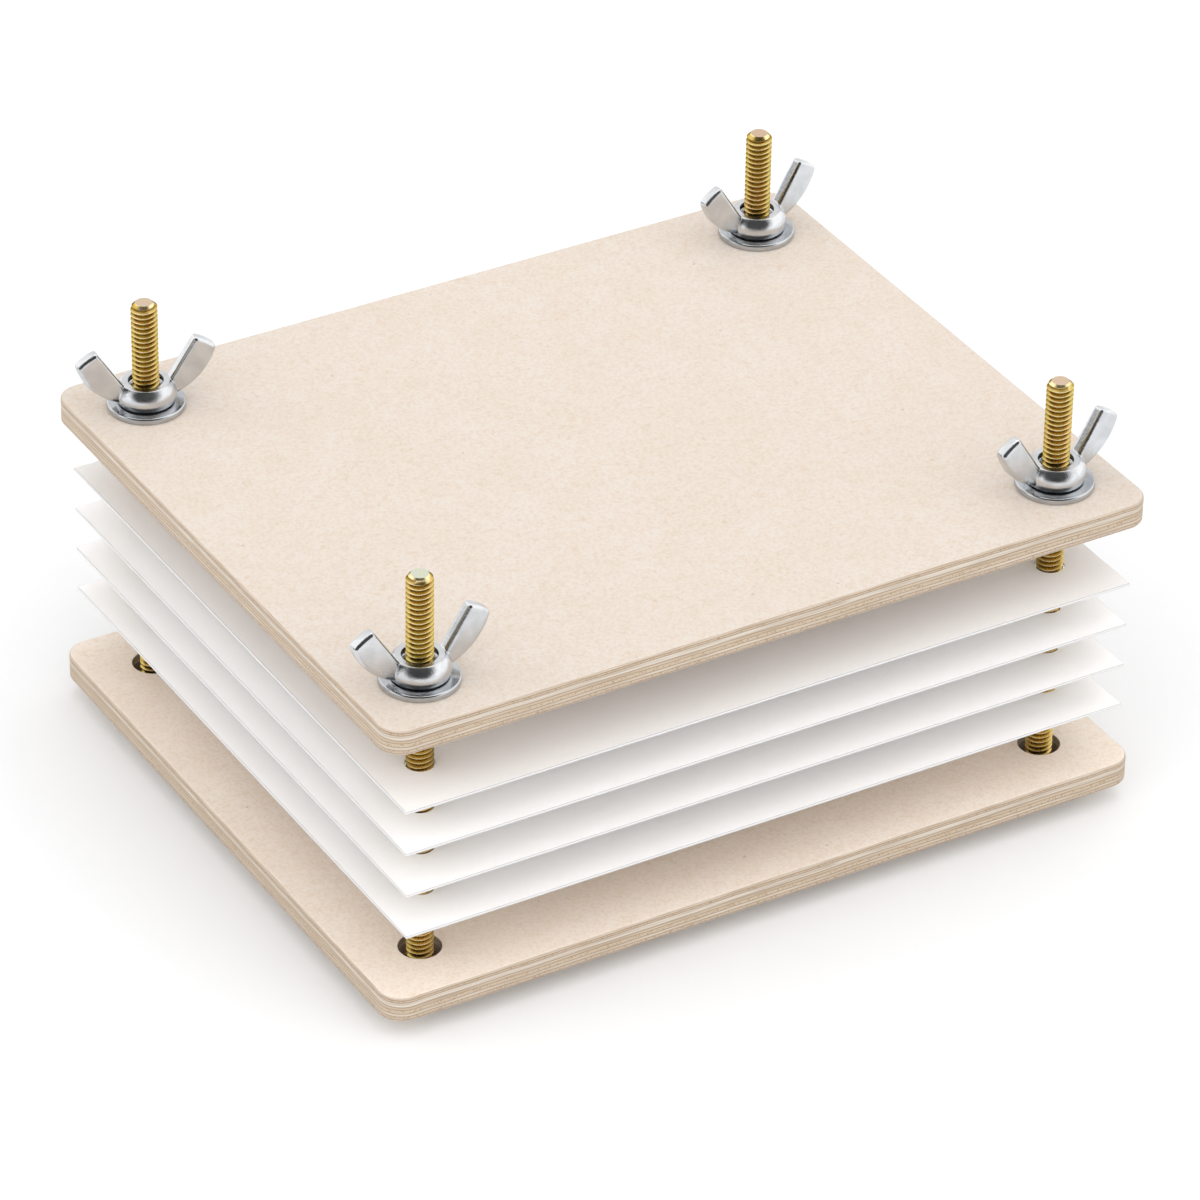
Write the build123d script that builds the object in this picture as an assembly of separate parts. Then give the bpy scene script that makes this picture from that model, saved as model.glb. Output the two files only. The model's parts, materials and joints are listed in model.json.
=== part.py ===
from build123d import *
import math
import os

# Flower press: two plywood boards on four long bolts, drawn together by wing nuts, with loose
# white sheets threaded on the bolts between them. The origin is at the centre of the footprint, on
# the plane that the bolt heads stand on. X runs along the boards' length, Y along their depth, Z up.
# All lengths are in millimetres, angles in degrees.

# Boards
board_length = 200.0
board_depth = 165.0
board_thickness = 6.4
board_corner_radius = 6.0
board_edge_chamfer = 0.6
board_gap = 65.7
bolt_inset = 16.5
bolt_hole_diameter = 10.0

# Bolts: hexagon head below, plain-turned shank of the thread's outer diameter
bolt_diameter = 6.35
bolt_length = 108.0
bolt_end_chamfer = 0.8
head_across_flats = 11.1
head_height = 4.0
head_face_share = 0.96
head_chamfer_angle = 30.0

# Washers under the bolt heads and under the wing nuts
washer_diameter = 18.6
washer_thickness = 1.6
washer_rim_chamfer = 0.4
washer_clearance = 0.4

# Wing nuts: a round-bellied hub with two flat wings that rise outwards
nut_height = 5.3
nut_base_diameter = 12.0
nut_belly_diameter = 13.2
nut_belly_height_share = 0.38
nut_top_diameter = 10.8
nut_top_chamfer = 0.3
nut_mouth_diameter = 7.8
nut_mouth_angle = 45.0
thread_clearance = 0.05
wing_span = 34.0
wing_top = 15.2
wing_breadth = 6.0
wing_thickness = 2.8
wing_rise_angle = 57.5
wing_belly = 2.0
wing_tip_crown = 0.35
wing_corner_round = 0.7
wing_edge_chamfer = 0.4
wing_root_top_share = 0.8
wing_root_low_share = 0.13
wing_root_inset_share = 0.84

# How far each wing nut is turned from the X axis, as it was left
nut_turns = {
    "front_left": -1.0,
    "front_right": 5.0,
    "back_left": -10.0,
    "back_right": 6.0,
}

# Sheets: their undersides stand at these shares of the gap between the boards
sheet_thickness = 0.7
sheet_side_margin = 4.5
sheet_front_margin = 1.0
sheet_hole_clearance = 0.3
sheet_height_shares = (0.24, 0.41, 0.58, 0.75)

# Cuts run past the faces that they open by this much
cut_overrun = 1.0

# Levels, counted up from the plane that the bolt heads stand on
lower_washer_level = head_height
bottom_board_level = lower_washer_level + washer_thickness
gap_level = bottom_board_level + board_thickness
top_board_level = gap_level + board_gap
upper_washer_level = top_board_level + board_thickness
nut_level = upper_washer_level + washer_thickness

# Bolt places, one near each corner of the boards
bolt_x = board_length / 2 - bolt_inset
bolt_y = board_depth / 2 - bolt_inset
bolt_places = {
    "front_left": (-bolt_x, -bolt_y),
    "front_right": (bolt_x, -bolt_y),
    "back_left": (-bolt_x, bolt_y),
    "back_right": (bolt_x, bolt_y),
}


def upright_cylinder(diameter, height, level=0.0):
    """A round bar on the Z axis that stands on the given level."""
    bar = Cylinder(diameter / 2, height, align=(Align.CENTER, Align.CENTER, Align.MIN))
    return Pos(0, 0, level) * bar


def drill_at_bolts(plate, diameter, level, thickness):
    """Cuts a round hole through a flat plate at each bolt place."""
    drill = upright_cylinder(diameter, thickness + 2 * cut_overrun, level - cut_overrun)
    for x, y in bolt_places.values():
        plate -= Pos(x, y, 0) * drill
    return plate


def board(level):
    """A plywood board with rounded corners, eased edges and a clearance hole for each bolt."""
    outline = RectangleRounded(board_length, board_depth, board_corner_radius)
    plate = extrude(Pos(0, 0, level) * outline, board_thickness)
    rims = plate.faces().filter_by(Axis.Z).edges()
    plate = chamfer(rims, board_edge_chamfer)
    return drill_at_bolts(plate, bolt_hole_diameter, level, board_thickness)


def sheet(level):
    """A flat white sheet with square corners, punched to slide on the bolts."""
    length = board_length - 2 * sheet_side_margin
    depth = board_depth - 2 * sheet_front_margin
    plate = extrude(Pos(0, 0, level) * Rectangle(length, depth), sheet_thickness)
    hole_diameter = bolt_diameter + 2 * sheet_hole_clearance
    return drill_at_bolts(plate, hole_diameter, level, sheet_thickness)


def bolt():
    """A hexagon-head bolt that stands on its head, with a chamfered free end."""
    hexagon = RegularPolygon(head_across_flats / 2, 6, major_radius=False)
    prism = extrude(hexagon, head_height)
    face_radius = head_across_flats / 2 * head_face_share
    flare = head_height / math.tan(math.radians(head_chamfer_angle))
    cone = Cone(
        face_radius,
        face_radius + flare,
        head_height,
        align=(Align.CENTER, Align.CENTER, Align.MIN),
    )
    shank = upright_cylinder(bolt_diameter, bolt_length, head_height)
    shank = chamfer(shank.edges().sort_by(Axis.Z)[-1], bolt_end_chamfer)
    return (prism & cone) + shank


def washer(level):
    """A large flat washer with a chamfered upper rim."""
    disc = upright_cylinder(washer_diameter, washer_thickness, level)
    rim = disc.edges().filter_by(GeomType.CIRCLE).sort_by(Axis.Z)[-1]
    disc = chamfer(rim, washer_rim_chamfer)
    bore_diameter = bolt_diameter + 2 * washer_clearance
    bore = upright_cylinder(bore_diameter, washer_thickness + 2 * cut_overrun, level - cut_overrun)
    return disc - bore


def nut_hub():
    """The turned hub of a wing nut, with a belly between its seat and its flat top ring."""
    base_radius = nut_base_diameter / 2
    belly_radius = nut_belly_diameter / 2
    top_radius = nut_top_diameter / 2
    belly_height = nut_height * nut_belly_height_share
    side = ThreePointArc((base_radius, 0), (belly_radius, belly_height), (top_radius, nut_height))
    outline = Polyline((top_radius, nut_height), (0, nut_height), (0, 0), (base_radius, 0))
    hub = revolve(Plane.XZ * make_face(side + outline), Axis.Z)
    ring = hub.faces().sort_by(Axis.Z)[-1].edges()
    return chamfer(ring, nut_top_chamfer)


def nut_wing():
    """One wing of a wing nut, on the +X side: straight inside, bellied outside, crowned tip."""
    rise = math.radians(wing_rise_angle)
    tip_x = wing_span / 2 - wing_breadth * math.sin(rise)
    tip_inner = (tip_x, wing_top)
    tip_outer = (wing_span / 2, wing_top - wing_breadth * math.cos(rise))
    root_top_height = nut_height * wing_root_top_share
    root_top = (tip_x - (wing_top - root_top_height) / math.tan(rise), root_top_height)
    root_low = (nut_belly_diameter / 2 * wing_root_inset_share, nut_height * wing_root_low_share)
    inside = Line(root_top, tip_inner)
    tip = SagittaArc(tip_inner, tip_outer, wing_tip_crown)
    outside = SagittaArc(tip_outer, root_low, wing_belly)
    root = Line(root_low, root_top)
    profile = make_face(inside + tip + outside + root)
    corners = profile.vertices().group_by(Axis.Y)[-2:]
    profile = fillet([corner for group in corners for corner in group], wing_corner_round)
    wing = extrude(Plane.XZ * profile, wing_thickness / 2, both=True)
    return chamfer(wing.faces().filter_by(Axis.Y).edges(), wing_edge_chamfer)


def wing_nut(level):
    """A wing nut with its wings along X, bored to run on the bolt and countersunk at both ends."""
    wing = nut_wing()
    body = nut_hub() + wing + Rot(0, 0, 180) * wing
    bore_diameter = bolt_diameter + 2 * thread_clearance
    bore = upright_cylinder(bore_diameter, nut_height + 2 * cut_overrun, -cut_overrun)
    mouth_radius = nut_mouth_diameter / 2
    mouth_depth = mouth_radius / math.tan(math.radians(nut_mouth_angle))
    mouth = Cone(0, mouth_radius, mouth_depth, align=(Align.CENTER, Align.CENTER, Align.MAX))
    upper_mouth = Pos(0, 0, nut_height) * mouth
    lower_mouth = Rot(180, 0, 0) * mouth
    return Pos(0, 0, level) * (body - bore - upper_mouth - lower_mouth)


def build_nodes():
    """All pieces of the press, each under its own name."""
    nodes = {"bottom_board": board(bottom_board_level), "top_board": board(top_board_level)}
    for number, share in enumerate(sheet_height_shares, start=1):
        nodes[f"sheet_{number}"] = sheet(gap_level + board_gap * share)
    corner_pieces = {
        "bolt": bolt(),
        "lower_washer": Pos(0, 0, 2 * lower_washer_level + washer_thickness)
        * Rot(180, 0, 0)
        * washer(lower_washer_level),
        "upper_washer": washer(upper_washer_level),
    }
    nut = wing_nut(nut_level)
    for corner, (x, y) in bolt_places.items():
        for name, piece in corner_pieces.items():
            nodes[f"{name}_{corner}"] = Pos(x, y, 0) * piece
        nodes[f"wing_nut_{corner}"] = Pos(x, y, 0) * Rot(0, 0, nut_turns[corner]) * nut
    return nodes


os.makedirs("parts", exist_ok=True)
for node, solid in build_nodes().items():
    export_step(solid, f"parts/{node}.step")
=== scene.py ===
"""Flower press: its plywood boards, white cards, threaded bolts, washers and wing nuts, as they look.

Lengths are in metres and angles in degrees. Every piece takes its place from the box of the node that it
stands for; the boards, cards and washers take their outer size from it too, and the bolts their length.
"""

import json
import logging
import math
from collections.abc import Callable, Iterator
from contextlib import contextmanager
from dataclasses import dataclass
from enum import Enum
from itertools import pairwise

import bmesh
import bpy
from mathutils import Matrix, Vector

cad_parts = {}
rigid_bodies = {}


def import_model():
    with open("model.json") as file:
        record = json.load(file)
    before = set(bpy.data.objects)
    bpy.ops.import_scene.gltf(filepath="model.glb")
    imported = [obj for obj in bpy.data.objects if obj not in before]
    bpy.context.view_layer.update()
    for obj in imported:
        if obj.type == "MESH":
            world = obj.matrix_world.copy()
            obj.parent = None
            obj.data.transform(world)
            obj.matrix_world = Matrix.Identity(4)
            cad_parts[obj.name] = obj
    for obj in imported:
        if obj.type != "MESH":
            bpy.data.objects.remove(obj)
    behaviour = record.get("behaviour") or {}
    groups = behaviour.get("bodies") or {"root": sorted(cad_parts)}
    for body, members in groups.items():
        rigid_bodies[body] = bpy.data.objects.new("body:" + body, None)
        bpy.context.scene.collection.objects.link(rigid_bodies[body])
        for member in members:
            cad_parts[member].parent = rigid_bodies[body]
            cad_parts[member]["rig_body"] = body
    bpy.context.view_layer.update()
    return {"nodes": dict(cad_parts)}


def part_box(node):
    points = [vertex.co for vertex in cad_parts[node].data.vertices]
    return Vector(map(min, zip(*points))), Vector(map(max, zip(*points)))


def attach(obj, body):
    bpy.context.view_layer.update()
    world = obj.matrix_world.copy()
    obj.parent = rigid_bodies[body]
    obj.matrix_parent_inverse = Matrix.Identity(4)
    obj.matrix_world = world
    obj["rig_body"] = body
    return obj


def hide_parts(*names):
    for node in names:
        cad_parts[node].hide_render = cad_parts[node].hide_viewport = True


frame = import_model()

log = logging.getLogger("flower_press")

CORNERS = ("front_left", "front_right", "back_left", "back_right")
NEAR = 1e-6
FINEST = 1e-8
MILLIMETRES = 1000.0
FLAT_WEIGHT = 100
Triple = tuple[float, float, float]
Colour = Triple
Point = tuple[float, float]
Span = tuple[float, float, float, float]


class Element(Enum):
    """What a selection in edit mode is made of."""

    VERTEX = "VERT"
    EDGE = "EDGE"
    FACE = "FACE"


class Join(Enum):
    """How one solid is combined with another."""

    TAKE_AWAY = "DIFFERENCE"
    KEEP_SHARED = "INTERSECT"
    WELD = "UNION"


class Domain(Enum):
    """What a number noted on a piece belongs to."""

    VERTEX = "POINT"
    FACE = "FACE"


class Fill(Enum):
    """How a ramp goes from one colour to the next."""

    EVEN = "LINEAR"
    STEPPED = "CONSTANT"


# Modelling bench


def only(piece: bpy.types.Object) -> None:
    """Selects one object alone and makes it the active one.

    Args:
        piece: The object.
    """
    bpy.ops.object.select_all(action="DESELECT")
    piece.select_set(True)
    bpy.context.view_layer.objects.active = piece


def settle(piece: bpy.types.Object, name: str) -> bpy.types.Object:
    """Names an object and puts its place, turn and size into its mesh.

    Args:
        piece: The object, wherever it stands.
        name: The name of the object and of its mesh.

    Returns:
        The same object, at the origin.
    """
    piece.name = name
    piece.data.name = name
    only(piece)
    bpy.ops.object.transform_apply(location=True, rotation=True, scale=True)
    return piece


def block(name: str, low: Vector, high: Vector) -> bpy.types.Object:
    """Adds a cube and sizes it to fill a box.

    Args:
        name: The new object's name.
        low: The box's lowest corner.
        high: The box's highest corner.

    Returns:
        The new object.
    """
    bpy.ops.object.select_all(action="DESELECT")
    bpy.ops.mesh.primitive_cube_add(size=1, location=(low + high) / 2, scale=high - low)
    return settle(bpy.context.object, name)


def bar(name: str, radius: float, low: float, high: float, sides: int) -> bpy.types.Object:
    """Adds an upright cylinder on the Z axis.

    Args:
        name: The new object's name.
        radius: Its radius, at the corners of its outline.
        low: The level of its foot.
        high: The level of its top.
        sides: How many sides it has.

    Returns:
        The new object.
    """
    bpy.ops.object.select_all(action="DESELECT")
    middle = (0, 0, (low + high) / 2)
    bpy.ops.mesh.primitive_cylinder_add(vertices=sides, radius=radius, depth=high - low, location=middle)
    return settle(bpy.context.object, name)


@contextmanager
def editing(piece: bpy.types.Object) -> Iterator[None]:
    """Keeps an object in edit mode while the lines below it run.

    Args:
        piece: The object that is edited.

    Yields:
        Nothing, once the object is in edit mode.
    """
    only(piece)
    bpy.ops.object.mode_set(mode="EDIT")
    yield
    bpy.ops.object.mode_set(mode="OBJECT")


def choose(piece: bpy.types.Object, kind: Element, test: Callable[[object], bool]) -> None:
    """Selects the vertices, edges or faces that pass a test, in edit mode.

    Args:
        piece: The object that is being edited.
        kind: What is selected.
        test: Says of each element whether it is selected.
    """
    bpy.ops.mesh.select_mode(type=kind.value)
    bpy.ops.mesh.select_all(action="DESELECT")
    mesh = bmesh.from_edit_mesh(piece.data)
    groups = {Element.VERTEX: mesh.verts, Element.EDGE: mesh.edges, Element.FACE: mesh.faces}
    for element in groups[kind]:
        if test(element):
            element.select_set(True)
    bmesh.update_edit_mesh(piece.data)


def ease(piece: bpy.types.Object, test: Callable[[object], bool], width: float, steps: int) -> None:
    """Rounds the edges that pass a test.

    Args:
        piece: The object whose edges are rounded.
        test: Says of each edge whether it is rounded.
        width: How far the rounding reaches from the edge.
        steps: How many faces the rounding has.
    """
    with editing(piece):
        choose(piece, Element.EDGE, test)
        bpy.ops.mesh.bevel(offset=width, segments=steps, affect="EDGES")


def treat(piece: bpy.types.Object, kind: str, **settings: object) -> None:
    """Adds a modifier and applies it.

    Args:
        piece: The object that is treated.
        kind: The modifier's type.
        **settings: The modifier's settings by name.
    """
    only(piece)
    modifier = piece.modifiers.new(kind.title(), kind)
    for name, value in settings.items():
        setattr(modifier, name, value)
    bpy.ops.object.modifier_apply(modifier=modifier.name)


def discard(piece: bpy.types.Object) -> None:
    """Removes an object together with its mesh."""
    bpy.data.meshes.remove(piece.data)


def combine(piece: bpy.types.Object, tool: bpy.types.Object, how: Join) -> None:
    """Combines an object with a second one, which is used up.

    Args:
        piece: The object that stays.
        tool: The object that is used up.
        how: What is kept of the two.
    """
    treat(piece, "BOOLEAN", object=tool, operation=how.value, solver="EXACT")
    discard(tool)


def outline(name: str, points: list[Vector]) -> bpy.types.Object:
    """Draws a line by pulling one vertex from point to point.

    Args:
        name: The new object's name.
        points: The line's points in order.

    Returns:
        The new object, a line of edges.
    """
    bpy.ops.object.select_all(action="DESELECT")
    bpy.ops.mesh.primitive_plane_add(location=points[0])
    line = settle(bpy.context.object, name)
    with editing(line):
        bpy.ops.mesh.select_mode(type=Element.VERTEX.value)
        bpy.ops.mesh.select_all(action="SELECT")
        bpy.ops.mesh.merge(type="CENTER")
        for start, end in pairwise(points):
            bpy.ops.mesh.extrude_region_move(TRANSFORM_OT_translate={"value": end - start})
    return line


def close_up(piece: bpy.types.Object) -> None:
    """Merges the doubled vertices of a shape and turns its faces outwards.

    Args:
        piece: The shape.
    """
    with editing(piece):
        bpy.ops.mesh.select_all(action="SELECT")
        bpy.ops.mesh.remove_doubles(threshold=NEAR)
        bpy.ops.mesh.normals_make_consistent(inside=False)


def turn(name: str, points: list[Vector], steps: int) -> bpy.types.Object:
    """Turns a closed solid from half of its section, which begins and ends on the Z axis.

    Args:
        name: The new object's name.
        points: The half section's points in order, in the XZ plane.
        steps: How many steps a full turn has.

    Returns:
        The new object.
    """
    solid = outline(name, points)
    treat(solid, "SCREW", angle=2 * math.pi, screw_offset=0, steps=steps, axis="Z", use_merge_vertices=True,
          merge_threshold=NEAR)
    close_up(solid)
    return solid


def arc(start: Vector, middle: Vector, end: Vector, steps: int) -> list[Vector]:
    """Finds points on the circle through three points of the XZ plane.

    Args:
        start: Where the arc begins.
        middle: A point that it passes.
        end: Where it ends.
        steps: How many equal steps it has.

    Returns:
        The points from start to end.
    """
    a, b, c = (complex(p.x, p.z) for p in (start, middle, end))
    ratio = (c - a) / (b - a)
    centre = a + (b - a) * (ratio - abs(ratio) ** 2) / (ratio - ratio.conjugate())
    radius = abs(a - centre)
    angles = [math.atan2((p - centre).imag, (p - centre).real) for p in (a, b, c)]
    sweep = (angles[2] - angles[0]) % (2 * math.pi)
    if (angles[1] - angles[0]) % (2 * math.pi) > sweep:
        sweep -= 2 * math.pi
    found = []
    for step in range(steps + 1):
        angle = angles[0] + sweep * step / steps
        across, up = radius * math.cos(angle), radius * math.sin(angle)
        found.append(Vector((centre.real + across, 0, centre.imag + up)))
    return found


def bowed(start: Vector, end: Vector, rise: float, steps: int) -> list[Vector]:
    """Finds points on an arc that stands off its chord, to the left of the way from start to end.

    Args:
        start: Where the arc begins, in the XZ plane.
        end: Where it ends.
        rise: How far its middle stands off the chord.
        steps: How many equal steps it has.

    Returns:
        The points from start to end.
    """
    along = (end - start).normalized()
    middle = (start + end) / 2 + Vector((-along.z, 0, along.x)) * rise
    return arc(start, middle, end, steps)


def copy_at(master: bpy.types.Object, name: str, place: Vector, turned: float = 0.0) -> bpy.types.Object:
    """Copies an object with its mesh and moves the copy.

    Args:
        master: The object that is copied.
        name: The copy's name.
        place: How far the copy is moved.
        turned: How far it is turned about the Z axis, in degrees.

    Returns:
        The copy, at the origin, with its place in its mesh.
    """
    only(master)
    bpy.ops.object.duplicate(linked=False)
    piece = bpy.context.object
    piece.location = place
    piece.rotation_euler.z = math.radians(turned)
    return settle(piece, name)


def smooth(piece: bpy.types.Object, angle: float) -> None:
    """Shades an object smooth, except over edges sharper than an angle, and keeps its broad faces flat.

    Args:
        piece: The object.
        angle: The angle, in degrees.
    """
    only(piece)
    bpy.ops.object.shade_smooth_by_angle(angle=math.radians(angle))
    treat(piece, "WEIGHTED_NORMAL", keep_sharp=True, weight=FLAT_WEIGHT)


def hand_over(piece: bpy.types.Object, node: str, material: bpy.types.Material) -> None:
    """Dresses a finished piece and lets it stand for its node.

    Args:
        piece: The finished piece.
        node: The node that it stands for.
        material: Its finish.
    """
    piece.data.materials.clear()
    piece.data.materials.append(material)
    body = frame["nodes"][node]["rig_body"]
    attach(piece, body)
    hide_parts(node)
    log.info("%s stands for %s on %s, %d faces", piece.name, node, body, len(piece.data.polygons))


def axis_of(node: str) -> Vector:
    """The point where the upright axis of a node's box meets the ground."""
    low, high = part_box(node)
    return Vector(((low.x + high.x) / 2, (low.y + high.y) / 2, 0))


def pierce(piece: bpy.types.Object, node: str, radius: float, sides: int, overrun: float) -> None:
    """Cuts a round hole through a flat piece at each bolt.

    Args:
        piece: The piece.
        node: The node whose box gives its levels.
        radius: The holes' radius.
        sides: How many sides each hole has.
        overrun: How far the drill runs past the piece's faces.
    """
    low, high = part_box(node)
    for corner in CORNERS:
        drill = bar("drill", radius, low.z - overrun, high.z + overrun, sides)
        combine(piece, copy_at(drill, "drill_in_place", axis_of(f"bolt_{corner}")), Join.TAKE_AWAY)
        discard(drill)


def note(piece: bpy.types.Object, name: str, domain: Domain, values: list[float]) -> None:
    """Notes a number on each vertex or face of a piece, for its finish to read.

    Args:
        piece: The piece.
        name: The name that the finish reads.
        domain: What the numbers belong to.
        values: One number for each vertex or face.
    """
    attribute = piece.data.attributes.new(name, "FLOAT", domain.value)
    attribute.data.foreach_set("value", values)


# Shading bench


class Nodes:
    """Adds nodes to one node tree and joins them."""

    def __init__(self, tree: bpy.types.NodeTree) -> None:
        """Takes the tree that the nodes go into."""
        self.tree = tree

    def add(self, kind: str, inputs: dict | None = None, **settings: object) -> bpy.types.Node:
        """Adds a node, sets it and feeds its inputs.

        Args:
            kind: The node's type, without the word ShaderNode.
            inputs: A number, a colour or another node's output for each input, by name or place.
            **settings: The node's own settings by name.

        Returns:
            The new node.
        """
        node = self.tree.nodes.new("ShaderNode" + kind)
        for name, value in settings.items():
            setattr(node, name, value)
        for name, value in (inputs or {}).items():
            self.feed(node.inputs[name], value)
        return node

    def feed(self, socket: bpy.types.NodeSocket, value: object) -> None:
        """Links an output to a socket, or sets the socket to a plain value.

        Args:
            socket: The input that is fed.
            value: Another node's output, a number or a colour.
        """
        if isinstance(value, bpy.types.NodeSocket):
            self.tree.links.new(value, socket)
        elif socket.type == "RGBA":
            socket.default_value = (*value, 1)
        else:
            socket.default_value = value

    def math(self, operation: str, *values: object) -> bpy.types.NodeSocket:
        """Adds a Math node over numbers or outputs and returns its output."""
        return self.add("Math", dict(enumerate(values)), operation=operation).outputs[0]

    def spread(self, value: object, low: float, high: float, new_low: float, new_high: float) -> object:
        """Maps a value smoothly from one span to another.

        Args:
            value: A number or an output.
            low: Where the first span begins.
            high: Where it ends.
            new_low: What its beginning becomes.
            new_high: What its end becomes.

        Returns:
            The output.
        """
        names = ("Value", "From Min", "From Max", "To Min", "To Max")
        inputs = dict(zip(names, (value, low, high, new_low, new_high)))
        return self.add("MapRange", inputs, interpolation_type="SMOOTHSTEP").outputs["Result"]

    def mix(self, share: object, first: object, second: object) -> bpy.types.NodeSocket:
        """Mixes two colours by a share of the second and returns the output."""
        return self.add("Mix", {0: share, 6: first, 7: second}, data_type="RGBA").outputs[2]

    def blend(self, share: object, first: object, second: object) -> bpy.types.NodeSocket:
        """Mixes two numbers by a share of the second and returns the output."""
        return self.add("Mix", {0: share, 2: first, 3: second}, data_type="FLOAT").outputs[0]

    def noise(self, place: object, scale: object, detail: float, swirl: float = 0.0) -> bpy.types.NodeSocket:
        """Adds a noise of a scale, a detail and a swirl at a place and returns its value."""
        inputs = {"Vector": place, "Scale": scale, "Detail": detail, "Distortion": swirl}
        return self.add("TexNoise", inputs).outputs[0]

    def stretched(self, place: object, scale: Triple) -> bpy.types.NodeSocket:
        """Scales coordinates along each axis and returns the output."""
        return self.add("Mapping", {"Vector": place, "Scale": scale}).outputs[0]

    def noted(self, name: str) -> bpy.types.NodeSocket:
        """Reads the number that is noted on the piece under a name."""
        return self.add("Attribute", attribute_name=name).outputs["Fac"]

    def bump(self, shader: bpy.types.Node, height: object, strength: float, depth: float) -> None:
        """Raises a shader's surface by a height, with a strength and a depth."""
        inputs = {"Height": height, "Strength": strength, "Distance": depth}
        self.feed(shader.inputs["Normal"], self.add("Bump", inputs).outputs[0])

    def ramp(self, value: object, stops: list[tuple[float, Colour]], fill: Fill) -> bpy.types.NodeSocket:
        """Colours a value by a ramp.

        Args:
            value: The value that runs along the ramp, from 0 to 1.
            stops: The ramp's places and colours in order.
            fill: How colours are filled in between.

        Returns:
            The colour output.
        """
        node = self.add("ValToRGB", {"Fac": value})
        node.color_ramp.interpolation = fill.value
        elements = node.color_ramp.elements
        while len(elements) < len(stops):
            elements.new(1)
        for element, (place, colour) in zip(elements, stops):
            element.position = place
            element.color = (*colour, 1)
        return node.outputs["Color"]

    def placed(self, foot: float = 0.0) -> bpy.types.NodeSocket:
        """Gives the piece's own coordinates in millimetres.

        Args:
            foot: The level that heights are counted from.

        Returns:
            The coordinates.
        """
        source = self.add("TexCoord").outputs["Object"]
        shift = (0, 0, -foot * MILLIMETRES)
        inputs = {"Vector": source, "Location": shift, "Scale": (MILLIMETRES,) * 3}
        return self.add("Mapping", inputs).outputs[0]


def new_material(name: str) -> tuple[bpy.types.Material, Nodes, bpy.types.Node]:
    """Makes a material with one Principled shader.

    Args:
        name: The material's name.

    Returns:
        The material, a way to add its nodes, and its shader.
    """
    material = bpy.data.materials.new(name)
    material.use_nodes = True
    nodes = Nodes(material.node_tree)
    return material, nodes, material.node_tree.nodes["Principled BSDF"]


def mottle_group() -> bpy.types.NodeTree:
    """Makes the shared surface mottle: soft patches and a fine grain at a place.

    Returns:
        The node group, with values from 0 to 1 around a half.
    """
    name = "surface_mottle"
    if name in bpy.data.node_groups:
        return bpy.data.node_groups[name]
    group = bpy.data.node_groups.new(name, "ShaderNodeTree")
    for socket, side, kind in (
        ("Place", "INPUT", "Vector"),
        ("Patch Scale", "INPUT", "Float"),
        ("Grain Scale", "INPUT", "Float"),
        ("Patches", "OUTPUT", "Float"),
        ("Grain", "OUTPUT", "Float"),
    ):
        group.interface.new_socket(socket, in_out=side, socket_type=f"NodeSocket{kind}")
    nodes = Nodes(group)
    given = group.nodes.new("NodeGroupInput").outputs
    made = group.nodes.new("NodeGroupOutput").inputs
    nodes.feed(made["Patches"], nodes.noise(given["Place"], given["Patch Scale"], detail=3, swirl=0.4))
    nodes.feed(made["Grain"], nodes.noise(given["Place"], given["Grain Scale"], detail=2))
    return group


def mottle(nodes: Nodes, place: object, patch_scale: float, grain_scale: float) -> tuple[object, object]:
    """Places the shared mottle in a material.

    Args:
        nodes: The material's nodes.
        place: The coordinates in millimetres.
        patch_scale: How many patches there are to a millimetre.
        grain_scale: How many grains there are to a millimetre.

    Returns:
        The outputs of the patches and of the grain.
    """
    inputs = {"Place": place, "Patch Scale": patch_scale, "Grain Scale": grain_scale}
    outputs = nodes.add("Group", inputs, node_tree=mottle_group()).outputs
    return outputs["Patches"], outputs["Grain"]


# Finishes: their scales count features to a millimetre, and a span maps its first two values to the others


@dataclass(frozen=True)
class Ply:
    """One layer of the plywood, from the bottom up."""

    top_share: float
    colour: Colour
    end_grain: bool


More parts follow.
